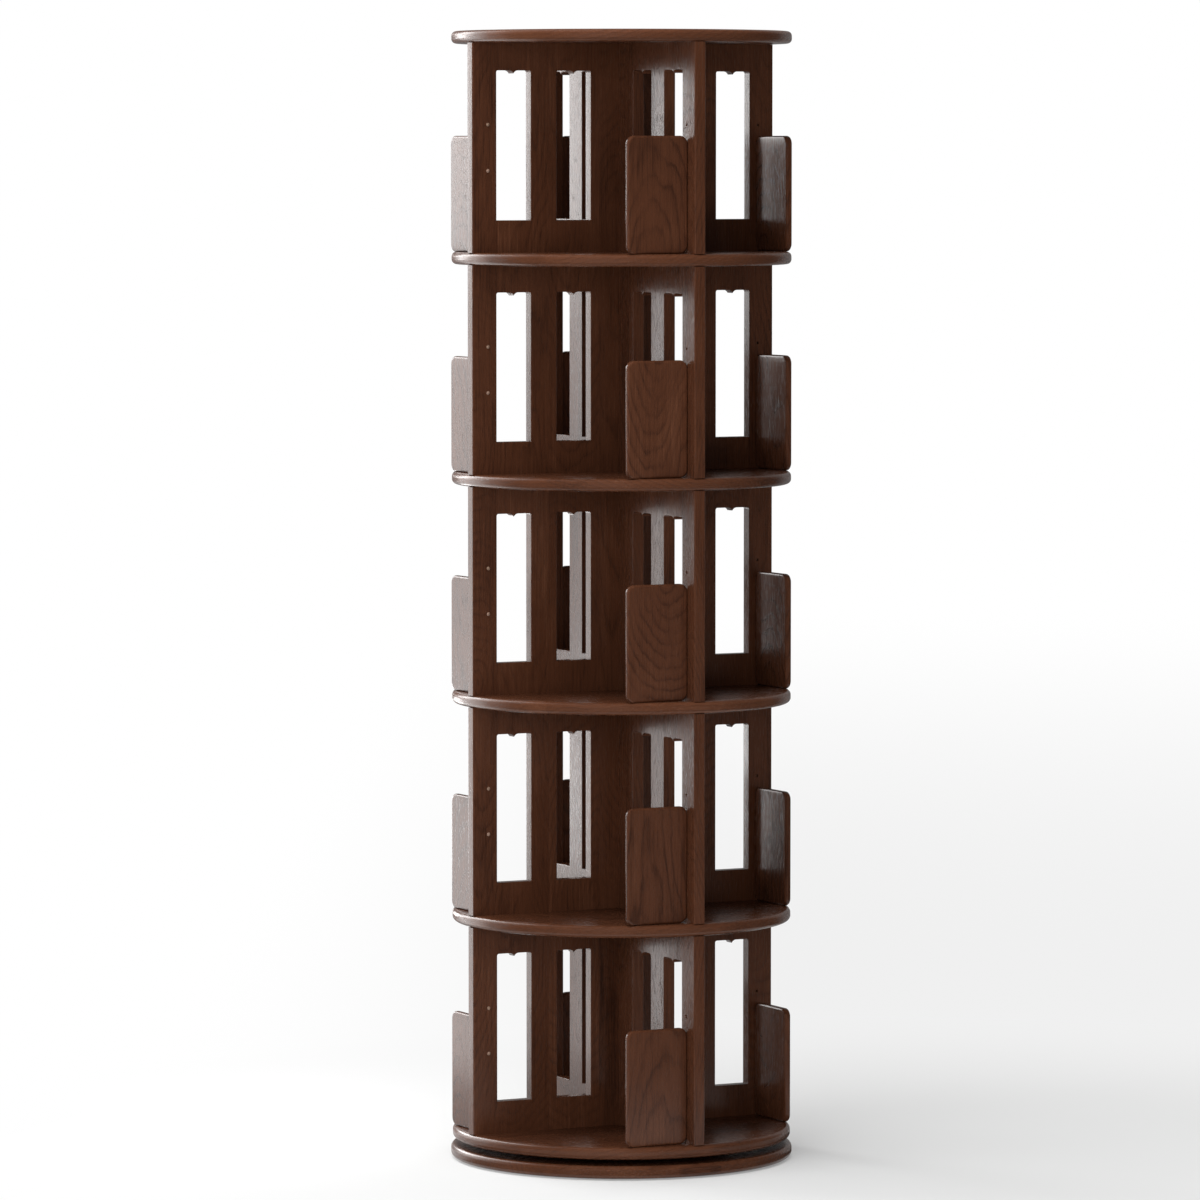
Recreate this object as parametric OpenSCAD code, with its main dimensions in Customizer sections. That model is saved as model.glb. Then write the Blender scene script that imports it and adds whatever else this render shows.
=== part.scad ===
// Revolving bookcase: a column of round shelves that turns on a ball-bearing base.
// Millimetres, +Z up. The origin is the centre of the footprint, on the floor.
// The two dividers of each tier lie along X and Y and cross on the axis.

/* [Discs] */
// Diameter of each turning disc
disc_d = 500; // [440:1:600]
// Thickness of each turning disc
disc_t = 18; // [16:1:30]
// Radius of the rounded rim of every disc
rim_r = 7; // [3:0.5:9]
// Number of tiers
tiers = 5; // [2:1:5]
// Clear height of each tier
clear_h = 305; // [260:1:400]

/* [Base] */
// Diameter of the standing base disc
base_d = 505; // [450:1:620]
// Thickness of the standing base disc
base_t = 19; // [16:1:30]
// Diameter of each foot pad
pad_d = 30; // [15:1:40]
// Height of each foot pad
pad_h = 2; // [1.5:0.5:6]
// Number of foot pads
pad_count = 6; // [4:1:8]
// Distance from the base's rim to the middle of a foot pad
pad_inset = 34; // [30:1:60]
// Diameter of the hole through which the turning ring is screwed on
access_d = 16; // [10:1:20]

/* [Bearing] */
// Gap between the base and the bottom disc
bearing_gap = 8.5; // [8:0.5:12]
// Radius of the circle on which the balls run
race_r = 135; // [110:1:150]
// Diameter of each ball
ball_d = 4; // [3.2:0.1:4.4]
// Number of balls
ball_count = 24; // [12:1:36]
// Clearance between a ball and its groove
race_clear = 0.08; // [0.04:0.01:0.1]
// Gap between the facing walls of the two rings
wall_gap = 2.2; // [2:0.1:2.8]
// Thickness of the wall that holds each groove
wall_t = 5; // [4:0.5:8]
// Height by which each ring stays clear of the board it turns past
ring_lift = 1.2; // [1:0.1:1.6]
// Thickness of each ring's flange
flange_t = 2; // [1.5:0.1:2.5]
// Width of each ring's flange
flange_w = 20; // [16:1:26]
// Thickness of the ball cage
cage_t = 1.2; // [0.8:0.1:1.4]
// Height of the ball cage
cage_h = 6; // [5.2:0.1:6.5]
// Clearance between a ball and its pocket in the cage
pocket_clear = 0.15; // [0.1:0.01:0.3]

/* [Dividers] */
// Thickness of each divider
panel_t = 18; // [15:0.5:22]
// Distance from the disc's rim to a divider's outer edge
panel_setback = 2; // [0:0.5:12]
// Rounding of a divider's upright outer edges
panel_round = 2; // [0.5:0.5:4]
// Clearance on each side of the crossed slots
slot_clear = 0.2; // [0.1:0.05:0.5]
// Width of the outer upright of a divider
stile_w = 39; // [34:1:50]
// Width of the upright between the two windows
mullion_w = 42; // [25:1:60]
// Width of each window
window_w = 56; // [44:1:64]
// Height of the rail under the windows
sill_h = 47; // [40:1:80]
// Height of the rail over the windows
head_h = 40; // [30:1:70]
// Rounding of the two upper corners of a window
window_corner = 3; // [1:0.5:10]
// Width of the point that hangs in the middle of a window's head
point_w = 15; // [12:1:24]
// Depth to which the point hangs down
point_h = 4.5; // [2:0.5:6]

/* [Book stops] */
// Width of each book stop, from the divider's face
stop_w = 98; // [60:1:120]
// Height of each book stop
stop_h = 170; // [140:1:190]
// Thickness of each book stop
stop_t = 10; // [9:0.5:16]
// Distance from the divider's outer edge to a book stop's outer face
stop_setback = 20; // [14:0.5:26]
// Radius of a book stop's four corners
stop_corner = 12; // [6:1:20]
// Rounding of a book stop's edges
stop_round = 3.5; // [0.5:0.5:4]

/* [Fasteners] */
// Clearance between a dowel or screw and its hole
hole_clear = 0.05; // [0.03:0.01:0.1]
// Diameter of a divider's dowels
dowel_d = 8; // [6:0.5:10]
// Depth of a dowel in the disc above
dowel_in_disc = 10; // [6:0.5:14]
// Depth of a dowel in the divider's top edge
dowel_in_panel = 18; // [10:1:26]
// Distance from the axis to a divider's inner dowels
dowel_near = 32; // [24:1:50]
// Distance from the axis to a divider's outer dowels
dowel_far = 170; // [120:1:190]
// Shank diameter of a divider's screws
screw_d = 5; // [4:0.5:6]
// Diameter of their sunk heads
screw_head_d = 9; // [7:0.5:11]
// Height of their sunk heads
screw_head_h = 2.5; // [2:0.1:4]
// Depth of a screw in the divider's bottom edge
screw_bite = 30; // [15:1:34]
// Distance from the axis to a divider's inner screws
screw_near = 70; // [60:1:90]
// Distance from the axis to a divider's outer screws
screw_far = 205; // [192:1:225]
// Shank diameter of the screw and the plug at a book stop
stop_screw_d = 4; // [3:0.1:5]
// Depth of that screw in the book stop
stop_bite = 24; // [12:1:34]
// Length of the plug in the divider, whose hole stays open on the side of the book stop
plug_length = 12; // [8:0.5:14]
// Diameter of the domed heads of the screw and the plug
dome_d = 5.5; // [5.5:0.1:8]
// Height of the domed heads
dome_h = 1.5; // [1:0.1:2]
// Distance from a book stop's top edge down to its screw
screw_drop = 51; // [30:0.5:60]
// Diameter of a book stop's dowel
peg_d = 5; // [4:0.1:5.5]
// Depth of that dowel in the divider
peg_in_panel = 10; // [6:0.5:13]
// Depth of that dowel in the book stop
peg_in_stop = 14; // [8:0.5:30]
// Height of that dowel above the shelf
peg_z = 42; // [20:1:70]
// Number of screws in each bearing ring
ring_screws = 6; // [3:1:8]
// Shank diameter of the bearing screws
ring_screw_d = 4; // [3:0.1:5]
// Depth of the bearing screws in the wood
ring_screw_bite = 12; // [8:0.5:15]
// Diameter of the bearing screws' heads
ring_head_d = 8; // [6:0.5:10]
// Height of the bearing screws' heads
ring_head_h = 2; // [1.5:0.1:2.5]

/* [Hidden] */
tier_list = [1 : tiers];
sides = ["a", "b", "c", "d"];

wood = "#4a2b20";
wood_dark = "#41241b";
steel = "#b9bcc0";
pale = "#c9b8ab";
dowel_wood = "#caa877";
nylon = "#e8e6df";
felt = "#1e1c1b";

$fn = 96;
// Through cuts run past the faces that they leave by this much
over = 1;
deck_z = pad_h + base_t + bearing_gap;
pitch = clear_h + disc_t;
panel_reach = disc_d / 2 - panel_setback;
far_window = panel_reach - stile_w - window_w / 2;
near_window = far_window - window_w - mullion_w;
stop_s = panel_reach - stop_setback - stop_t / 2;
// A divider is drilled alike above and below mid-height, and the spare hole takes the plug
screw_z = stop_h - screw_drop;
plug_z = clear_h - screw_z;
ball_z = pad_h + base_t + bearing_gap / 2;
groove_r = ball_d / 2 + race_clear;
ring_h = bearing_gap - ring_lift;
outer_wall_r = race_r + wall_gap / 2;
inner_wall_r = race_r - wall_gap / 2;
base_screw_r = outer_wall_r + wall_t + flange_w / 2;
turn_screw_r = inner_wall_r - wall_t - flange_w / 2;
ring_step = 360 / ring_screws;
turn_screw_a = 45;
base_screw_a = 30;

function disc_z(k) = deck_z + k * pitch;
function floor_z(i) = disc_z(i - 1) + disc_t;

// A disc of the given size whose rim is rounded above and below
module rounded_disc(d, t, rim = rim_r) {
    r = min(rim, t / 2 - 0.5);
    rotate_extrude() {
        square([d / 2 - r, t]);
        translate([0, r]) square([d / 2, t - 2 * r]);
        for (z = [r, t - r]) translate([d / 2 - r, z]) intersection() {
            circle(r, $fn = 48);
            translate([0, -r]) square([r, 2 * r]);
        }
    }
}

// Rectangle about the origin with rounded corners
module rounded_rectangle(size, r) {
    square([size[0] - 2 * r, size[1]], center = true);
    square([size[0], size[1] - 2 * r], center = true);
    for (x = [-1, 1], y = [-1, 1]) {
        translate([x * (size[0] / 2 - r), y * (size[1] / 2 - r)]) circle(r, $fn = 32);
    }
}

// Puts children at each screw or dowel of both dividers, in plan
module on_arms(distances) {
    for (a = [0 : 90 : 270], s = distances) rotate(a) translate([s, 0]) children();
}

// Puts children at each screw of a bearing ring, in plan
module on_ring(r, start) {
    for (k = [0 : ring_screws - 1]) rotate(start + k * ring_step) translate([r, 0]) children();
}

// Puts children at each ball
module on_race() {
    for (k = [0 : ball_count - 1]) rotate(k * 360 / ball_count) translate([race_r, 0]) children();
}

// Shaft with a sunk head, whose flat top is at z = 0 and whose point is up
module sunk_screw(d, head_d, head_h, length) {
    cylinder(h = head_h, d1 = head_d, d2 = d, $fn = 32);
    cylinder(h = length, d = d, $fn = 32);
}

// Shaft with a raised head: the head is below z = 0 and the shaft above
module pan_screw(d, head_d, head_h, length) {
    translate([0, 0, -head_h]) cylinder(h = head_h, d = head_d, $fn = 32);
    cylinder(h = length, d = d, $fn = 32);
}

// Shaft along +Z under a domed head that stands below z = 0
module domed_pin(d, length) {
    ball_r = (dome_d * dome_d / 4 + dome_h * dome_h) / (2 * dome_h);
    rotate_extrude($fn = 32) intersection() {
        translate([0, ball_r - dome_h]) circle(ball_r, $fn = 96);
        translate([0, -dome_h]) square([dome_d / 2, dome_h]);
    }
    cylinder(h = length, d = d, $fn = 32);
}

module foot_pads() {
    color(felt) for (k = [0 : pad_count - 1]) {
        rotate(k * 360 / pad_count) translate([base_d / 2 - pad_inset, 0]) cylinder(h = pad_h, d = pad_d);
    }
}

module base_disc() {
    color(wood) difference() {
        translate([0, 0, pad_h]) rounded_disc(base_d, base_t);
        translate([0, 0, pad_h + base_t - ring_screw_bite]) on_ring(base_screw_r, base_screw_a) {
            cylinder(h = ring_screw_bite + over, d = ring_screw_d + 2 * hole_clear, $fn = 32);
        }
        rotate(turn_screw_a) translate([turn_screw_r, 0, pad_h - over]) {
            cylinder(h = base_t + 2 * over, d = access_d);
        }
    }
}

// Torus that the balls run in
module groove() {
    translate([0, 0, ball_z]) rotate_extrude() translate([race_r, 0]) circle(groove_r, $fn = 48);
}

module bearing_base_ring() {
    z = pad_h + base_t;
    color(steel) difference() {
        translate([0, 0, z]) rotate_extrude() {
            translate([outer_wall_r, 0]) square([wall_t, ring_h]);
            translate([outer_wall_r, 0]) square([wall_t + flange_w, flange_t]);
        }
        groove();
        translate([0, 0, z - over]) on_ring(base_screw_r, base_screw_a) {
            cylinder(h = flange_t + 2 * over, d = ring_screw_d + 2 * hole_clear, $fn = 32);
        }
    }
}

module base_ring_screws() {
    color(steel) translate([0, 0, pad_h + base_t + flange_t]) on_ring(base_screw_r, base_screw_a) {
        rotate([180, 0, 0]) pan_screw(ring_screw_d, ring_head_d, ring_head_h, flange_t + ring_screw_bite);
    }
}

module bearing_cage() {
    color(nylon) difference() {
        translate([0, 0, ball_z - cage_h / 2]) rotate_extrude() {
            translate([race_r - cage_t / 2, 0]) square([cage_t, cage_h]);
        }
        translate([0, 0, ball_z]) on_race() rotate([0, 90, 0]) {
            cylinder(h = cage_t + 2 * over, d = ball_d + 2 * pocket_clear, center = true, $fn = 32);
        }
    }
}

module bearing_balls() {
    color(steel) translate([0, 0, ball_z]) on_race() sphere(d = ball_d, $fn = 32);
}

module bearing_turning_ring() {
    z = deck_z - ring_h;
    color(steel) difference() {
        translate([0, 0, z]) rotate_extrude() {
            translate([inner_wall_r - wall_t, 0]) square([wall_t, ring_h]);
            translate([inner_wall_r - wall_t - flange_w, ring_h - flange_t]) {
                square([wall_t + flange_w, flange_t]);
            }
        }
        groove();
        translate([0, 0, deck_z - flange_t - over]) on_ring(turn_screw_r, turn_screw_a) {
            cylinder(h = flange_t + 2 * over, d = ring_screw_d + 2 * hole_clear, $fn = 32);
        }
    }
}

module turning_ring_screws() {
    color(steel) translate([0, 0, deck_z - flange_t]) on_ring(turn_screw_r, turn_screw_a) {
        pan_screw(ring_screw_d, ring_head_d, ring_head_h, flange_t + ring_screw_bite);
    }
}

// Disc number k, counted from 0 at the bottom, with the holes for what meets it
module turning_disc(k) {
    color(wood) translate([0, 0, disc_z(k)]) difference() {
        rounded_disc(disc_d, disc_t);
        if (k < tiers) on_arms([screw_near, screw_far]) {
            cylinder(
                h = screw_head_h, d1 = screw_head_d + 2 * hole_clear, d2 = screw_d + 2 * hole_clear, $fn = 32
            );
            translate([0, 0, -over]) cylinder(h = disc_t + 2 * over, d = screw_d + 2 * hole_clear, $fn = 32);
        }
        if (k > 0) translate([0, 0, -over]) on_arms([dowel_near, dowel_far]) {
            cylinder(h = dowel_in_disc + over, d = dowel_d + 2 * hole_clear, $fn = 32);
        }
        if (k == 0) translate([0, 0, -over]) on_ring(turn_screw_r, turn_screw_a) {
            cylinder(h = ring_screw_bite + over, d = ring_screw_d + 2 * hole_clear, $fn = 32);
        }
    }
}

module bottom_disc() {
    turning_disc(0);
}

module shelf(i) {
    turning_disc(i);
}

module top_disc() {
    turning_disc(tiers);
}

// Outline of a window, its sill at y = 0 and its middle at x = 0. The head is straight, with
// rounded corners and a point that hangs in the middle.
module window_outline() {
    h = clear_h - sill_h - head_h;
    inner_w = window_w - 2 * window_corner;
    difference() {
        union() {
            translate([-window_w / 2, 0]) square([window_w, h - window_corner]);
            translate([-inner_w / 2, 0]) square([inner_w, h]);
            for (x = [-inner_w / 2, inner_w / 2]) translate([x, h - window_corner]) {
                circle(window_corner, $fn = 32);
            }
        }
        translate([0, h]) hanging_point();
    }
}

// Point that hangs down from y = 0. Its two sides are hollow curves, level where they start.
module hanging_point() {
    r = (pow(point_w / 2, 2) + pow(point_h, 2)) / (2 * point_h);
    difference() {
        translate([-point_w / 2, -point_h - over]) square([point_w, point_h + 2 * over]);
        for (x = [-point_w / 2, point_w / 2]) translate([x, -r]) circle(r);
    }
}

// Full-width divider along X, standing at z = 0. The slot for the other divider opens
// at the top or at the bottom and stops at half height.
module divider(slot_at_top) {
    slot_w = panel_t + 2 * slot_clear;
    slot_h = clear_h / 2 + slot_clear;
    color(wood_dark) difference() {
        linear_extrude(clear_h) rounded_rectangle([2 * panel_reach, panel_t], panel_round);
        for (x = [-far_window, -near_window, near_window, far_window]) {
            translate([x, panel_t / 2 + over, sill_h]) rotate([90, 0, 0]) {
                linear_extrude(panel_t + 2 * over) window_outline();
            }
        }
        translate([-slot_w / 2, -panel_t / 2 - over, slot_at_top ? clear_h - slot_h : -over]) {
            cube([slot_w, panel_t + 2 * over, slot_h + over]);
        }
        for (side = [0, 180]) rotate(side) arm_holes();
    }
}

// Holes in the arm of a divider that points along +X: its book stop is on the -Y face
module arm_holes() {
    for (s = [dowel_near, dowel_far]) translate([s, 0, clear_h - dowel_in_panel]) {
        cylinder(h = dowel_in_panel + over, d = dowel_d + 2 * hole_clear, $fn = 32);
    }
    for (s = [screw_near, screw_far]) translate([s, 0, -over]) {
        cylinder(h = screw_bite + over, d = screw_d + 2 * hole_clear, $fn = 32);
    }
    for (z = [screw_z, plug_z]) translate([stop_s, 0, z]) rotate([90, 0, 0]) {
        cylinder(h = panel_t + 2 * over, d = stop_screw_d + 2 * hole_clear, center = true, $fn = 32);
    }
    translate([stop_s, peg_in_panel - panel_t / 2, peg_z]) rotate([90, 0, 0]) {
        cylinder(h = peg_in_panel + over, d = peg_d + 2 * hole_clear, $fn = 32);
    }
}

module divider_x(i) {
    translate([0, 0, floor_z(i)]) divider(true);
}

module divider_y(i) {
    translate([0, 0, floor_z(i)]) rotate(90) divider(false);
}

// A board in the YZ plane, about its middle, with rounded corners and every edge rounded over
module eased_board(t, w, h, corner, edge) {
    rotate([90, 0, 0]) linear_extrude(w - 2 * corner, center = true) rounded_rectangle([t, h], edge);
    linear_extrude(h - 2 * corner, center = true) rounded_rectangle([t, w], edge);
    for (y = [-1, 1], z = [-1, 1]) {
        translate([-t / 2, y * (w / 2 - corner), z * (h / 2 - corner)]) rotate([90, 0, 90]) {
            rounded_disc(2 * corner, t, edge);
        }
    }
}

// Book stop of the arm that points along +X, standing at z = 0
module book_stop_board() {
    color(wood) difference() {
        translate([stop_s, -panel_t / 2 - stop_w / 2, stop_h / 2]) {
            eased_board(stop_t, stop_w, stop_h, stop_corner, stop_round);
        }
        translate([stop_s, -panel_t / 2 + over, screw_z]) rotate([90, 0, 0]) {
            cylinder(h = stop_bite + over, d = stop_screw_d + 2 * hole_clear, $fn = 32);
        }
        translate([stop_s, -panel_t / 2 + over, peg_z]) rotate([90, 0, 0]) {
            cylinder(h = peg_in_stop + over, d = peg_d + 2 * hole_clear, $fn = 32);
        }
    }
}

module book_stop(i, side) {
    translate([0, 0, floor_z(i)]) rotate(90 * side) book_stop_board();
}

// Puts children at one height on the plain face of each arm, their +Z into the divider
module on_plain_faces(i, z) {
    translate([0, 0, floor_z(i) + z]) for (a = [0 : 90 : 270]) rotate(a) {
        translate([stop_s, panel_t / 2, 0]) rotate([90, 0, 0]) children();
    }
}

module stop_screws(i) {
    color(pale) on_plain_faces(i, screw_z) domed_pin(stop_screw_d, panel_t + stop_bite);
}

module hole_plugs(i) {
    color(pale) on_plain_faces(i, plug_z) domed_pin(stop_screw_d, plug_length);
}

module stop_dowels() {
    color(dowel_wood) for (i = tier_list, a = [0 : 90 : 270]) {
        rotate(a) translate([stop_s, peg_in_panel - panel_t / 2, floor_z(i) + peg_z]) rotate([90, 0, 0]) {
            cylinder(h = peg_in_panel + peg_in_stop, d = peg_d, $fn = 32);
        }
    }
}

module divider_dowels() {
    color(dowel_wood) for (i = tier_list) {
        translate([0, 0, disc_z(i) - dowel_in_panel]) on_arms([dowel_near, dowel_far]) {
            cylinder(h = dowel_in_panel + dowel_in_disc, d = dowel_d, $fn = 32);
        }
    }
}

module divider_screws() {
    color(steel) for (i = tier_list) {
        translate([0, 0, disc_z(i - 1)]) on_arms([screw_near, screw_far]) {
            sunk_screw(screw_d, screw_head_d, screw_head_h, disc_t + screw_bite);
        }
    }
}

foot_pads();
base_disc();
bearing_base_ring();
base_ring_screws();
bearing_cage();
bearing_balls();
bearing_turning_ring();
turning_ring_screws();
bottom_disc();
for (i = [1 : tiers - 1]) shelf(i);
top_disc();
for (i = tier_list) divider_x(i);
for (i = tier_list) divider_y(i);
for (i = tier_list, k = [0 : 3]) {
    book_stop(i, k);
}
for (i = tier_list) stop_screws(i);
for (i = tier_list) hole_plugs(i);
stop_dowels();
divider_dowels();
divider_screws();
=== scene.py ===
import math

import bmesh
import bpy
from mathutils import Matrix, Vector


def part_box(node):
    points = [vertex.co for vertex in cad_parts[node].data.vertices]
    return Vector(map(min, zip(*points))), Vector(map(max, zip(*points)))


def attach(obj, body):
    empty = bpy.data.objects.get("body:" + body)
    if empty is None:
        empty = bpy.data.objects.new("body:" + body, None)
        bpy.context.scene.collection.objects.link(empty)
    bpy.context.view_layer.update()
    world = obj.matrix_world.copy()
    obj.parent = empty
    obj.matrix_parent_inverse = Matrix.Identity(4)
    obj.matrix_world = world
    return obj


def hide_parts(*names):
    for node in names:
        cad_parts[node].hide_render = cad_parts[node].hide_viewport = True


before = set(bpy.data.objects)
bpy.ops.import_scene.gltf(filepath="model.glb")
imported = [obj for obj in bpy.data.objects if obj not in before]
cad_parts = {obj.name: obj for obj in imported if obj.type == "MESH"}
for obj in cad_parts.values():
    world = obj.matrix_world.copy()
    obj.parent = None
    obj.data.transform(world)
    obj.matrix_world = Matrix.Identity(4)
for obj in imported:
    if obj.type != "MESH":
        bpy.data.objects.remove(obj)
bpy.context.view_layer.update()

MM = 0.001

# Camera, for a 1200 by 1200 picture
FRAME_PX = 1200
SENSOR_MM = 36
FOCAL_PX = 6778
CAMERA_DISTANCE = 9.983
CAMERA_AZIMUTH = math.radians(-27.2)
CAMERA_HEIGHT = 1.501
CAMERA_PITCH = math.radians(3.869)
CAMERA_YAW = math.radians(-0.182)

# Shape of the windows, corners and holes, whose places follow from the frame
SLOT_CLEAR = 0.2 * MM
STILE_W = 39 * MM
MULLION_W = 42 * MM
WINDOW_W = 56 * MM
SILL_H = 47 * MM
HEAD_H = 40 * MM
WINDOW_CORNER = 3 * MM
POINT_W = 15 * MM
POINT_H = 4.5 * MM
STOP_CORNER = 12 * MM
HOLE_D = 4.1 * MM
HOLE_S = 223 * MM
HOLE_Z = 186 * MM

# How far the sharp edges are eased
PANEL_EASE = 2 * MM
WINDOW_EASE = 1.3 * MM
HOLE_EASE = 0.2 * MM
STOP_EASE = 3.5 * MM
SHARP_ANGLE = 38


# Shader graphs


def graph(name):
    """An empty material: the material, its node tree, its Principled shader."""
    material = bpy.data.materials.new(name)
    material.use_nodes = True
    tree = material.node_tree
    tree.nodes.clear()
    shader = tree.nodes.new("ShaderNodeBsdfPrincipled")
    out = tree.nodes.new("ShaderNodeOutputMaterial")
    tree.links.new(shader.outputs["BSDF"], out.inputs["Surface"])
    return material, tree, shader


def put(tree, socket, value):
    """Links a socket into an input, or sets the input to a value."""
    if isinstance(value, bpy.types.NodeSocket):
        tree.links.new(value, socket)
    else:
        socket.default_value = value


def maths(tree, operation, *values):
    n = tree.nodes.new("ShaderNodeMath")
    n.operation = operation
    for socket, value in zip(n.inputs, values):
        put(tree, socket, value)
    return n.outputs[0]


def add(tree, a, b):
    return maths(tree, "ADD", a, b)


def less(tree, a, b):
    return maths(tree, "SUBTRACT", a, b)


def times(tree, a, b):
    return maths(tree, "MULTIPLY", a, b)


def vector(tree, operation, a, b):
    n = tree.nodes.new("ShaderNodeVectorMath")
    n.operation = operation
    put(tree, n.inputs[0], a)
    put(tree, n.inputs[1], b)
    return n.outputs["Value" if operation in ("LENGTH", "DISTANCE", "DOT_PRODUCT") else "Vector"]


def noise(tree, coordinates, scale, detail=2.0, roughness=0.5, seed=None):
    n = tree.nodes.new("ShaderNodeTexNoise")
    n.noise_dimensions = "3D" if seed is None else "4D"
    put(tree, n.inputs["Vector"], coordinates)
    put(tree, n.inputs["Scale"], scale)
    put(tree, n.inputs["Detail"], detail)
    put(tree, n.inputs["Roughness"], roughness)
    if seed is not None:
        put(tree, n.inputs["W"], seed)
    return n.outputs["Fac"]


def ramp(tree, value, *stops):
    """Colour ramp whose stops are (place, grey or colour)."""
    n = tree.nodes.new("ShaderNodeValToRGB")
    n.color_ramp.interpolation = "EASE"
    elements = n.color_ramp.elements
    while len(elements) < len(stops):
        elements.new(1.0)
    for element, (place, shade) in zip(elements, stops):
        element.position = place
        element.color = (*shade, 1) if isinstance(shade, tuple) else (shade, shade, shade, 1)
    put(tree, n.inputs[0], value)
    return n.outputs["Color"]


def mix(tree, factor, a, b):
    n = tree.nodes.new("ShaderNodeMix")
    n.data_type = "RGBA"
    put(tree, n.inputs["Factor"], factor)
    for socket, value in ((n.inputs["A"], a), (n.inputs["B"], b)):
        put(tree, socket, (*value, 1) if isinstance(value, tuple) else value)
    return n.outputs["Result"]


def span(tree, value, low, high, to_low, to_high, smooth=False):
    n = tree.nodes.new("ShaderNodeMapRange")
    n.interpolation_type = "SMOOTHSTEP" if smooth else "LINEAR"
    for socket, v in zip(n.inputs, (value, low, high, to_low, to_high)):
        put(tree, socket, v)
    return n.outputs["Result"]


def bump(tree, shader, height, distance, strength):
    n = tree.nodes.new("ShaderNodeBump")
    n.inputs["Strength"].default_value = strength
    n.inputs["Distance"].default_value = distance
    put(tree, n.inputs["Height"], height)
    tree.links.new(n.outputs["Normal"], shader.inputs["Normal"])


def xyz(tree, coordinates):
    n = tree.nodes.new("ShaderNodeSeparateXYZ")
    put(tree, n.inputs[0], coordinates)
    return n.outputs


def combined(tree, x, y, z):
    n = tree.nodes.new("ShaderNodeCombineXYZ")
    for socket, value in zip(n.inputs, (x, y, z)):
        put(tree, socket, value)
    return n.outputs[0]


def linear(level):
    """Linear value of an 8-bit sRGB one."""
    share = level / 255
    return share / 12.92 if share <= 0.04045 else ((share + 0.055) / 1.055) ** 2.4


def srgb(r, g, b):
    """Linear colour of an 8-bit sRGB one."""
    return linear(r), linear(g), linear(b)


# Materials

WOOD_DARK = srgb(45, 25, 17)
WOOD_MID = srgb(80, 47, 31)
WOOD_LIGHT = srgb(107, 68, 48)
PORE = srgb(26, 14, 10)
# Lighter colour of the discs' rim band: partly wear, partly a painted highlight
WORN_AND_SHEEN = srgb(128, 84, 62)
WOOD_ROUGHNESS = 0.19
WOOD_SPECULAR = 0.35

# Grain of the stained wood. A scale is per metre: across, through and along a board
STAVE_SEED = 60.0
PIECE_SEED = 91.0
PATCH_SEED = 7.0
WANDER_SCALE = (9.0, 0.0, 2.6)
WANDER = 70 * MM
HEART_SHIFT = 60 * MM
HEART_DEPTH = 60 * MM
HEART_LEAN = 0.45
RIPPLE_SCALE = (55.0, 0.0, 16.0)
RIPPLE = 1.3
PATCH_SCALE = (22.0, 22.0, 9.0)
FIBRE_SCALE = (620.0, 620.0, 14.0)
PORE_SCALE = (1100.0, 1100.0, 60.0)
CLOUD_SCALE = (14.0, 14.0, 5.0)
LATE_WOOD = ((0.0, 0.2), (0.2, 0.0), (0.6, 0.2), (0.88, 1.0), (1.0, 0.2))
OPEN_PORE = ((0.0, 1.0), (0.36, 1.0), (0.44, 0.0))
LATE_DARK = 0.6
PORE_DARK = 0.45
# How much lighter the discs' outer rim band is: partly wear, partly a painted highlight
RIM_WEAR_AND_SHEEN = 0.1
RIM_BAND = 6 * MM
WOOD_RELIEF = 0.12 * MM


def wood_coordinates(tree, source):
    """Place in a board, in metres (across, through, along the grain), and the piece's own
    random number."""
    n = tree.nodes.new("ShaderNodeAttribute" if source == "board" else "ShaderNodeTexCoord")
    if source == "board":
        n.attribute_name = "grain"
        place = n.outputs["Vector"]
    else:
        out = xyz(tree, n.outputs["Object"])
        place = combined(tree, out["Y"], out["Z"], out["X"])
    return place, tree.nodes.new("ShaderNodeObjectInfo").outputs["Random"]


def scaled(tree, p, x, y, z):
    """The place p with each direction stretched by its own factor."""
    return combined(tree, *(times(tree, p[axis], k) for axis, k in zip("XYZ", (x, y, z))))


def wood_noise(tree, p, scale, detail, roughness, seed):
    return noise(tree, scaled(tree, p, *scale), 1.0, detail, roughness, seed)


def stave_at(tree, p, piece, stave):
    """The stave at the place p: the distance from its middle, three random numbers and a seed."""
    index = maths(tree, "FLOOR", add(tree, maths(tree, "DIVIDE", p["X"], stave), 0.5))
    x = less(tree, p["X"], times(tree, index, stave))
    dice = tree.nodes.new("ShaderNodeTexWhiteNoise")
    dice.noise_dimensions = "2D"
    place = combined(tree, index, times(tree, piece, PIECE_SEED), 0.0)
    tree.links.new(place, dice.inputs["Vector"])
    return x, xyz(tree, dice.outputs["Color"]), times(tree, dice.outputs["Value"], STAVE_SEED)


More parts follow.
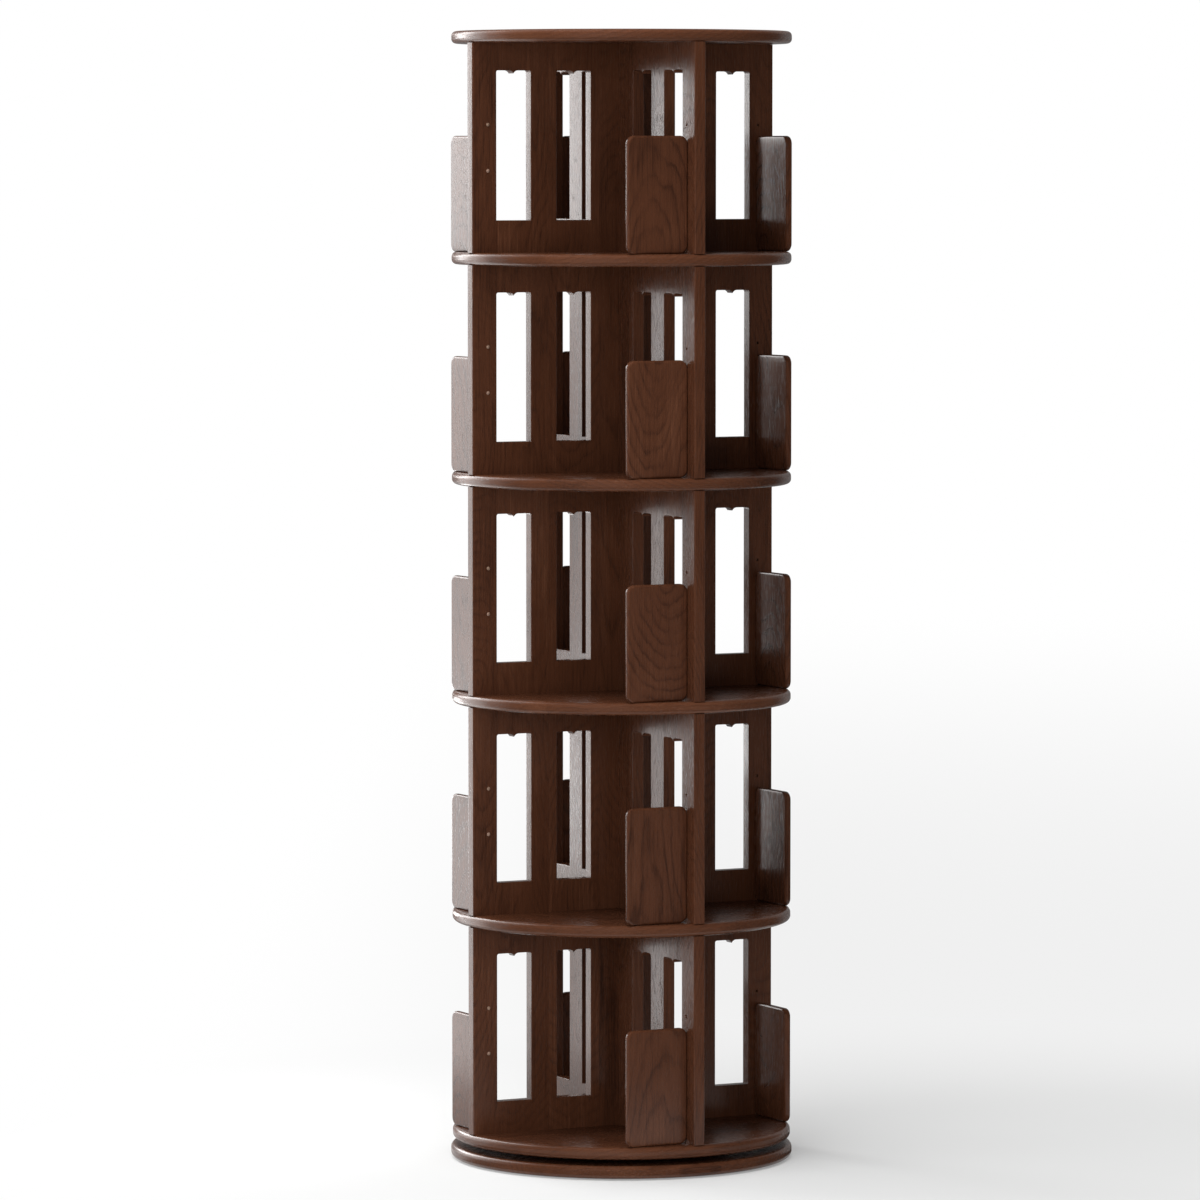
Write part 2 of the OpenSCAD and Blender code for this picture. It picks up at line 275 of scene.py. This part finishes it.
def late_wood(tree, p, x, roll, seed, ring):
    """The dark part of each year ring, 0 to 1, in patches of different strength. The heart of
    each stave's tree lies behind the stave and leans, so its rings make cathedrals."""
    wander = wood_noise(tree, p, WANDER_SCALE, 2.0, 0.5, seed)
    wander = times(tree, less(tree, wander, 0.5), WANDER)
    heart = times(tree, less(tree, roll["X"], 0.5), HEART_SHIFT)
    lean = span(tree, roll["Y"], 0.0, 1.0, -HEART_LEAN, HEART_LEAN)
    depth = add(tree, times(tree, p["Z"], lean), HEART_DEPTH)
    across = add(tree, less(tree, x, heart), wander)
    deep = add(tree, add(tree, p["Y"], depth), wander)
    radius = vector(tree, "LENGTH", combined(tree, across, deep, 0.0), (0, 0, 0))
    ripple = wood_noise(tree, p, RIPPLE_SCALE, 3.0, 0.6, seed)
    turns = add(tree, maths(tree, "DIVIDE", radius, ring), times(tree, ripple, RIPPLE))
    late = ramp(tree, maths(tree, "FRACT", turns), *LATE_WOOD)
    patch = wood_noise(tree, p, PATCH_SCALE, 2.0, 0.6, add(tree, seed, PATCH_SEED))
    return times(tree, late, span(tree, patch, 0.34, 0.62, 0.25, 1.0, smooth=True))


def stained_wood(name, source="board", stave=0.2, ring=7 * MM, contrast=1.0, rim=None):
    """Open-grained wood, glued up from staves, stained dark brown under a satin lacquer."""
    material, tree, shader = graph(name)
    place, piece = wood_coordinates(tree, source)
    p = xyz(tree, place)
    x, roll, seed = stave_at(tree, p, piece, stave)
    late = late_wood(tree, p, x, roll, seed, ring)
    fibre = wood_noise(tree, p, FIBRE_SCALE, 4.0, 0.6, seed)
    cloud = wood_noise(tree, p, CLOUD_SCALE, 3.0, 0.55, seed)
    pore = ramp(tree, wood_noise(tree, p, PORE_SCALE, 1.0, 0.5, seed), *OPEN_PORE)
    pore = times(tree, pore, span(tree, late, 0.0, 1.0, 0.35, 1.0))

    shade = add(tree, times(tree, fibre, 0.55), times(tree, cloud, 0.45))
    shade = add(tree, shade, times(tree, roll["Z"], 0.1))
    colour = ramp(tree, shade, (0.32, WOOD_DARK), (0.56, WOOD_MID), (0.82, WOOD_LIGHT))
    colour = mix(tree, times(tree, late, LATE_DARK * contrast), colour, WOOD_DARK)
    colour = mix(tree, times(tree, pore, PORE_DARK), colour, PORE)
    # Lighter towards the rim: partly wear, partly a painted highlight
    if rim:
        flat = vector(tree, "LENGTH", scaled(tree, p, 1.0, 0.0, 1.0), (0, 0, 0))
        colour = mix(tree, span(tree, flat, rim - RIM_BAND, rim, 0.0, RIM_WEAR_AND_SHEEN), colour, WORN_AND_SHEEN)
    put(tree, shader.inputs["Base Color"], colour)

    dull = add(tree, times(tree, fibre, 0.1), times(tree, pore, 0.12))
    put(tree, shader.inputs["Roughness"], add(tree, dull, WOOD_ROUGHNESS))
    shader.inputs["Specular IOR Level"].default_value = WOOD_SPECULAR
    relief = less(tree, times(tree, fibre, 0.35), pore)
    relief = less(tree, relief, times(tree, late, 0.2))
    bump(tree, shader, relief, WOOD_RELIEF, 0.6)
    return material


def bare_wood(name):
    """Pale beech of the dowels, with its short flecks."""
    material, tree, shader = graph(name)
    place = tree.nodes.new("ShaderNodeTexCoord").outputs["Object"]
    streaks = noise(tree, vector(tree, "MULTIPLY", place, (900, 900, 60)), 1.0, 3.0, 0.6)
    flecks = noise(tree, vector(tree, "MULTIPLY", place, (500, 500, 160)), 1.0, 1.0)
    colour = ramp(tree, streaks, (0.3, srgb(168, 124, 82)), (0.7, srgb(206, 168, 122)))
    colour = mix(tree, span(tree, flecks, 0.6, 0.7, 0.0, 0.5), colour, srgb(132, 90, 56))
    put(tree, shader.inputs["Base Color"], colour)
    put(tree, shader.inputs["Roughness"], span(tree, streaks, 0.0, 1.0, 0.55, 0.8))
    bump(tree, shader, streaks, 0.1 * MM, 0.5)
    return material


def brushed_steel(name, colour, roughness, scratches):
    """Metal with fine turned scratches around the axis and faint stains."""
    material, tree, shader = graph(name)
    place = tree.nodes.new("ShaderNodeTexCoord").outputs["Object"]
    p = xyz(tree, place)
    radius = vector(tree, "LENGTH", combined(tree, p["X"], p["Y"], 0.0), (0, 0, 0))
    turned = combined(tree, times(tree, radius, 6000.0), 0.0, times(tree, p["Z"], 4000.0))
    lines = noise(tree, turned, 1.0, 2.0, 0.6)
    stains = noise(tree, place, 120.0, 3.0, 0.55)
    dull = tuple(c * 0.72 for c in colour)
    stained = mix(tree, span(tree, stains, 0.4, 0.75, 0.0, 1.0), colour, dull)
    put(tree, shader.inputs["Base Color"], stained)
    rough = span(tree, lines, 0.2, 0.8, roughness - scratches, roughness + scratches)
    put(tree, shader.inputs["Roughness"], rough)
    shader.inputs["Metallic"].default_value = 1.0
    bump(tree, shader, lines, 0.02 * MM, 0.4)
    return material


def moulded(name, colour, roughness, grain, depth):
    """Nylon, felt or lacquer: a fine grain and slow changes of shade."""
    material, tree, shader = graph(name)
    place = tree.nodes.new("ShaderNodeTexCoord").outputs["Object"]
    fine = noise(tree, place, grain, 3.0, 0.6)
    slow = noise(tree, place, 60.0, 2.0, 0.5)
    lighter = tuple(min(1.0, c * 1.25 + 0.004) for c in colour)
    clouded = mix(tree, span(tree, slow, 0.3, 0.7, 0.0, 1.0), colour, lighter)
    put(tree, shader.inputs["Base Color"], clouded)
    rough = span(tree, fine, 0.2, 0.8, roughness - 0.08, roughness + 0.08)
    put(tree, shader.inputs["Roughness"], rough)
    bump(tree, shader, fine, depth, 0.5)
    return material


# Board meshes


def arc(centre, radius, start, end, steps):
    """Points of an arc in degrees, both ends included."""
    turn = [math.radians(start + (end - start) * k / steps) for k in range(steps + 1)]
    return [(centre[0] + radius * math.cos(a), centre[1] + radius * math.sin(a)) for a in turn]


def rounded_rectangle(width, height, radius, steps=8):
    """Outline about the middle, counter-clockwise."""
    x, y = width / 2 - radius, height / 2 - radius
    corners = ((x, -y, -90), (x, y, 0), (-x, y, 90), (-x, -y, 180))
    return [p for cx, cy, a in corners for p in arc((cx, cy), radius, a, a + 90, steps)]


def inset_loop(loop, distance):
    """A closed loop moved to its left by a distance, its corners mitred. An outline runs
    counter-clockwise and shrinks, and a hole runs clockwise and grows."""
    moved = []
    for k, here in enumerate(loop):
        before, after = Vector(loop[k - 1]), Vector(loop[(k + 1) % len(loop)])
        a, b = (Vector(here) - before).normalized(), (after - Vector(here)).normalized()
        scale = distance / max(0.2, 1 + a.dot(b))
        moved.append((here[0] - (a.y + b.y) * scale, here[1] + (a.x + b.x) * scale))
    return moved


def inset_ends(loop, distance):
    """A board's outline with only its two upright ends set back."""
    reach = max(x for x, z in loop)
    return [(math.copysign(reach - distance, x), z) if abs(x) > reach - MM else (x, z) for x, z in loop]


def mesh_data(name, mesh):
    data = bpy.data.meshes.new(name)
    mesh.to_mesh(data)
    mesh.free()
    return data


def scene_object(name, data):
    thing = bpy.data.objects.new(name, data)
    bpy.context.scene.collection.objects.link(thing)
    return thing


def board_data(name, mesh):
    """A smooth mesh that keeps its sharp edges and each point's own place for the grain."""
    for face in mesh.faces:
        face.smooth = True
    data = mesh_data(name, mesh)
    data.set_sharp_from_angle(angle=math.radians(SHARP_ANGLE))
    grain = data.attributes.new("grain", "FLOAT_VECTOR", "POINT")
    for point, vertex in zip(grain.data, data.vertices):
        point.vector = vertex.co
    return data


def flat_board(name, thickness, loops, segments=3):
    """A board in the XZ plane. Each of its loops is (outline, easing, how the easing insets it):
    the first is the board's own, and the others are holes. Every edge is eased to a round."""
    mesh = bmesh.new()
    turns = [math.pi / 2 * k / segments for k in range(segments + 1)]
    steps = [(1 - math.sin(t), 1 - math.cos(t)) for t in turns]
    faces = {1: [], -1: []}
    for loop, ease, inset in loops:
        rings = []
        for side, order in ((1, steps), (-1, steps[::-1])):
            for back, drop in order:
                y = side * (thickness / 2 - ease * drop)
                rings.append([mesh.verts.new((px, y, pz)) for px, pz in inset(loop, ease * back)])
        for a, b in zip(rings, rings[1:]):
            for k in range(len(a)):
                mesh.faces.new((a[k - 1], a[k], b[k], b[k - 1]))
        faces[1].append(rings[0])
        faces[-1].append(rings[-1])
    for side, rings in faces.items():
        edges = [mesh.edges.get((ring[k - 1], ring[k])) for ring in rings for k in range(len(ring))]
        bmesh.ops.triangle_fill(mesh, use_beauty=True, edges=edges, normal=(0, side, 0))
    bmesh.ops.recalc_face_normals(mesh, faces=mesh.faces)
    return board_data(name, mesh)


def place_board(node, data, quarter, material):
    """Stands a board where its CAD node is, turned about Z by quarters of a turn."""
    low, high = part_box(node)
    turn = Matrix.Rotation(math.pi / 2 * quarter, 4, "Z")
    turned = data.copy()
    turned.transform(Matrix.Translation((low + high) / 2) @ turn)
    turned.materials.append(material)
    board = scene_object("board_" + node, turned)
    normals = board.modifiers.new("normals", "WEIGHTED_NORMAL")
    normals.keep_sharp = True
    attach(board, "turntable")
    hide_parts(node)


def window_outline(place, grow):
    """A window, clockwise, from its middle, bottom and top. Its head is straight, with rounded
    corners and a point that hangs in the middle."""
    middle, bottom, top = place
    inner = WINDOW_W / 2 - WINDOW_CORNER
    corner = WINDOW_CORNER + grow
    reach = POINT_W / 2
    bend = (reach ** 2 + POINT_H ** 2) / (2 * POINT_H)
    tip = math.degrees(math.acos(reach / (bend + grow)))
    head = arc((middle - inner, top - WINDOW_CORNER), corner, 180, 90, 6)
    head += arc((middle - reach, top - bend), bend + grow, 90, tip, 8)
    head += arc((middle + reach, top - bend), bend + grow, 180 - tip, 90, 8)[1:]
    head += arc((middle + inner, top - WINDOW_CORNER), corner, 90, 0, 6)
    sill = bottom - grow
    return [(middle - inner - corner, sill)] + head + [(middle + inner + corner, sill)]


def divider_mesh(name, size, slot_at_top):
    """Full-width divider, about its middle, with its four windows, its slot and its two spare holes."""
    reach, thickness, half_h = size.x / 2, size.y, size.z / 2
    slot_half = thickness / 2 + SLOT_CLEAR
    slot_end = -SLOT_CLEAR
    corners = [(slot_half, half_h), (slot_half, slot_end), (-slot_half, slot_end), (-slot_half, half_h)]
    outline = [(-reach, -half_h), (reach, -half_h), (reach, half_h)] + corners + [(-reach, half_h)]
    if not slot_at_top:
        outline = [(-px, -pz) for px, pz in outline]
    far = reach - STILE_W - WINDOW_W / 2
    near = far - WINDOW_W - MULLION_W
    loops = [(outline, PANEL_EASE, inset_ends)]
    for middle in (-far, -near, near, far):
        window = (middle, SILL_H - half_h, half_h - HEAD_H)
        loops.append((window, WINDOW_EASE, window_outline))
    for px in (-HOLE_S, HOLE_S):
        hole = arc((px, HOLE_Z - half_h), HOLE_D / 2, 360, 360 / 24, 23)
        loops.append((hole, HOLE_EASE, inset_loop))
    return flat_board(name, thickness, loops)


def build_dividers():
    for axis, quarter in (("x", 0), ("y", 1)):
        low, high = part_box(f"divider_{axis}_1")
        size = high - low
        if quarter:
            size = Vector((size.y, size.x, size.z))
        data = divider_mesh("divider_" + axis, size, slot_at_top=axis == "x")
        for tier in TIERS:
            place_board(f"divider_{axis}_{tier}", data, quarter, WOOD["divider"])


def build_stops():
    low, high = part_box("book_stop_1a")
    thickness, width, height = high - low
    outline = rounded_rectangle(width, height, STOP_CORNER)
    data = flat_board("book_stop", thickness, [(outline, STOP_EASE, inset_loop)], segments=4)
    for tier in TIERS:
        for k, side in enumerate("abcd"):
            place_board(f"book_stop_{tier}{side}", data, (k + 1) % 4, WOOD["stop"])


# Finish of the CAD pieces


def assign(names, material):
    for name in names:
        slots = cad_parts[name].data.materials
        slots.clear()
        slots.append(material)


TIERS = [int(name.split("_")[-1]) for name in sorted(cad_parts) if name.startswith("divider_x_")]
DISCS = ["bottom_disc", "top_disc"] + [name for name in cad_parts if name.startswith("shelf_")]
DISC_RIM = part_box("top_disc")[1].x
WOOD = {
    "divider": stained_wood("stained_divider", stave=0.083, contrast=0.55),
    "stop": stained_wood("stained_stop", ring=8.5 * MM, contrast=0.95),
    "disc": stained_wood("stained_disc", "object", stave=0.1, contrast=0.6, rim=DISC_RIM),
    "base": stained_wood("stained_base", "object", stave=0.1, contrast=0.6),
}
build_dividers()
build_stops()
assign(DISCS, WOOD["disc"])
assign(["base_disc"], WOOD["base"])
assign(["divider_dowels", "stop_dowels"], bare_wood("bare_dowel"))
# The rings' dark grey is like black-zinc steel, and partly painted shade that keeps the bearing gap
# dark
assign(["bearing_base_ring", "bearing_turning_ring"],
       brushed_steel("ring_steel", srgb(72, 72, 74), 0.42, 0.08))
assign(["base_ring_screws", "turning_ring_screws", "divider_screws"],
       brushed_steel("zinc_screw", srgb(190, 188, 176), 0.3, 0.06))
assign(["bearing_balls"], brushed_steel("ball_steel", srgb(212, 213, 216), 0.12, 0.03))
assign(["bearing_cage"], moulded("cage_nylon", srgb(226, 222, 210), 0.5, 900.0, 0.02 * MM))
assign([f"stop_screws_{tier}" for tier in TIERS],
       moulded("screw_head", srgb(132, 106, 92), 0.46, 1400.0, 0.02 * MM))
assign([f"hole_plugs_{tier}" for tier in TIERS],
       moulded("hole_plug", srgb(126, 102, 86), 0.52, 1400.0, 0.03 * MM))
assign(["foot_pads"], moulded("pad_felt", srgb(34, 31, 30), 0.95, 2600.0, 0.3 * MM))


# Studio. A painted shade lowers the floor's white on the side away from the lamps and fades with
# distance

AMBIENT = 0.09
FLOOR_R = 40.0
FLOOR_GREY = srgb(214, 215, 215)
FLOOR_PALE = srgb(221, 221, 220)
FLOOR_WHITE = 0.3
# Painted shade in the floor's glow: its side, depth and fade
LAMP_TO_SHADE = (0.887, -0.462, 0)
SHADE = 0.13
SHADE_ACROSS = (-0.8, 0.4)
SHADE_FADE = (2.0, 12.0)
SHADOW_MIDDLE = (0.38, -0.1, 0)
SHADOW_EDGE = (0.35, 1.5)

# Dark cloths, seen only in gloss, which keep the white floor out of the wood's reflections, and a dark
# ring round the foot, painted contact shade on the floor that only gloss sees
DRAPE_NEAR = 0.9
DRAPE_R = 14.0
DRAPE_PROFILE = [(DRAPE_NEAR, MM), (DRAPE_R, MM)] + arc((0, 0), DRAPE_R, 2, 89, 12)
DRAPE_STEPS = 60
DRAPE_DARK = 0.04
DRAPE_GREY = 0.3
# A dark ring on the floor round the foot: painted contact shade, seen only in gloss
FOOT_SHADE_PROFILE = [(0.262, MM), (0.45, MM)]


def light_path(tree):
    """1 for rays from the camera, from gloss and through glass, and 0 for the rest."""
    rays = tree.nodes.new("ShaderNodeLightPath").outputs
    seen = maths(tree, "MAXIMUM", rays["Is Camera Ray"], rays["Is Glossy Ray"])
    return maths(tree, "MAXIMUM", seen, rays["Is Transmission Ray"])


def make_world():
    world = bpy.data.worlds.new("studio")
    bpy.context.scene.world = world
    world.use_nodes = True
    tree = world.node_tree
    tree.nodes.clear()
    white, ambient = (tree.nodes.new("ShaderNodeBackground") for _ in range(2))
    white.inputs["Color"].default_value = (1, 1, 1, 1)
    white.inputs["Strength"].default_value = 1.0
    ambient.inputs["Color"].default_value = (1, 1, 1, 1)
    ambient.inputs["Strength"].default_value = AMBIENT
    choice = tree.nodes.new("ShaderNodeMixShader")
    tree.links.new(light_path(tree), choice.inputs["Fac"])
    tree.links.new(ambient.outputs[0], choice.inputs[1])
    tree.links.new(white.outputs[0], choice.inputs[2])
    out = tree.nodes.new("ShaderNodeOutputWorld")
    tree.links.new(choice.outputs[0], out.inputs["Surface"])


def floor_glow(tree, place):
    """The white that the camera and gloss see, with a painted shade: a little less on the side away
    from the lamps.
    """
    glow = tree.nodes.new("ShaderNodeEmission")
    beyond = vector(tree, "DOT_PRODUCT", place, LAMP_TO_SHADE)
    # painted shade: the glow dims on the side away from the lamps
    across = span(tree, beyond, *SHADE_ACROSS, 0.0, SHADE, smooth=True)
    far = vector(tree, "LENGTH", place, (0, 0, 0))
    near = span(tree, far, *SHADE_FADE, 1.0, 0.0, smooth=True)
    put(tree, glow.inputs["Strength"], less(tree, 1.0, times(tree, across, near)))
    return glow


def floor_material():
    """Pale and matt near the bookcase, so that it keeps the shadow, and white far from it."""
    material, tree, shader = graph("floor_white")
    place = tree.nodes.new("ShaderNodeTexCoord").outputs["Object"]
    grit = noise(tree, place, 400.0, 2.0)
    put(tree, shader.inputs["Base Color"], mix(tree, grit, FLOOR_GREY, FLOOR_PALE))
    shader.inputs["Roughness"].default_value = 0.9
    shader.inputs["Specular IOR Level"].default_value = 0.1
    away = vector(tree, "DISTANCE", place, SHADOW_MIDDLE)
    white = span(tree, away, *SHADOW_EDGE, FLOOR_WHITE, 1.0, smooth=True)
    choice = tree.nodes.new("ShaderNodeMixShader")
    tree.links.new(times(tree, white, light_path(tree)), choice.inputs["Fac"])
    tree.links.new(shader.outputs[0], choice.inputs[1])
    tree.links.new(floor_glow(tree, place).outputs[0], choice.inputs[2])
    tree.links.new(choice.outputs[0], tree.nodes["Material Output"].inputs["Surface"])
    return material


def make_floor():
    mesh = bmesh.new()
    bmesh.ops.create_circle(mesh, cap_ends=True, radius=FLOOR_R, segments=96)
    floor = scene_object("floor", mesh_data("floor", mesh))
    floor.data.materials.append(floor_material())


def drape_material(name, grey):
    material, tree, shader = graph(name)
    tree.nodes.remove(shader)
    glow = tree.nodes.new("ShaderNodeEmission")
    glow.inputs["Color"].default_value = (grey, grey, grey, 1)
    tree.links.new(glow.outputs[0], tree.nodes["Material Output"].inputs["Surface"])
    return material


def make_drape(name, start, end, profile, grey):
    """Cloth, or a ring of painted shade, of a profile (radius, height) from one azimuth to another.
    Only gloss shows it.
    """
    mesh = bmesh.new()
    rows = []
    for step in range(DRAPE_STEPS + 1):
        turn = math.radians(start + (end - start) * step / DRAPE_STEPS)
        rows.append([mesh.verts.new((r * math.sin(turn), -r * math.cos(turn), z)) for r, z in profile])
    for a, b in zip(rows, rows[1:]):
        for k in range(len(profile) - 1):
            mesh.faces.new((a[k], b[k], b[k + 1], a[k + 1]))
    drape = scene_object(name, mesh_data(name, mesh))
    drape.data.materials.append(drape_material(name, grey))
    for ray in ("camera", "diffuse", "transmission", "shadow"):
        setattr(drape, "visible_" + ray, False)


def direction(azimuth, elevation):
    """Unit vector towards a place round the bookcase, in degrees: azimuth 0 is in front."""
    a, e = math.radians(azimuth), math.radians(elevation)
    return Vector((math.sin(a) * math.cos(e), -math.cos(a) * math.cos(e), math.sin(e)))


def softbox(name, azimuth, elevation, distance, width, height, watts, aim=0.85, mirrored=True):
    """A lamp that faces the bookcase's axis at the height aim, and shows in gloss if mirrored."""
    data = bpy.data.lights.new(name, "AREA")
    data.shape = "RECTANGLE"
    data.size = width
    data.size_y = height
    data.energy = watts
    lamp = scene_object(name, data)
    lamp.location = Vector((0, 0, aim)) + direction(azimuth, elevation) * distance
    lamp.rotation_euler = (-direction(azimuth, elevation)).to_track_quat("-Z", "Y").to_euler()
    lamp.visible_camera = False
    lamp.visible_glossy = mirrored


def make_camera():
    data = bpy.data.cameras.new("camera")
    data.sensor_width = SENSOR_MM
    data.lens = FOCAL_PX / FRAME_PX * SENSOR_MM
    data.clip_end = 100
    camera = scene_object("camera", data)
    place = Vector((math.sin(CAMERA_AZIMUTH), -math.cos(CAMERA_AZIMUTH), 0)) * CAMERA_DISTANCE
    camera.location = place + Vector((0, 0, CAMERA_HEIGHT))
    turn = CAMERA_AZIMUTH - CAMERA_YAW
    level = math.cos(CAMERA_PITCH)
    ahead = Vector((-math.sin(turn) * level, math.cos(turn) * level, -math.sin(CAMERA_PITCH)))
    camera.rotation_euler = ahead.to_track_quat("-Z", "Y").to_euler()
    bpy.context.scene.camera = camera


bpy.context.scene.view_settings.view_transform = "Standard"
make_world()
make_floor()
make_drape("drape_front", -112, 108, DRAPE_PROFILE, DRAPE_DARK)
make_drape("drape_back", 108, 186, DRAPE_PROFILE, DRAPE_GREY)
# painted contact shade round the foot, seen in the base's reflections
make_drape("drape_foot", -100, 110, FOOT_SHADE_PROFILE, DRAPE_DARK)

# Lamps: azimuth, elevation, distance, width, height, watts
softbox("back_left_high", -143, 0, 1.33, 0.83, 1.6, 10, aim=2.0)
softbox("back_left_low", -140, 0, 0.93, 0.58, 1.18, 4.9, aim=0.61)
softbox("back_left_far", -163, 20, 4.0, 1.2, 2.1, 50)
softbox("back_left_foot", -167, 0, 1.27, 0.3, 0.3, 2.6, aim=0.45)
softbox("front_left", -42, 8, 4.0, 3.0, 2.4, 88, mirrored=False)
softbox("front_low", 24, 0, 2.6, 1.6, 0.5, 6, aim=0.3, mirrored=False)
softbox("right", 118, 16, 4.0, 2.4, 2.4, 60, mirrored=False)
softbox("above", -60, 70, 3.6, 2.4, 2.4, 160, mirrored=False)
make_camera()
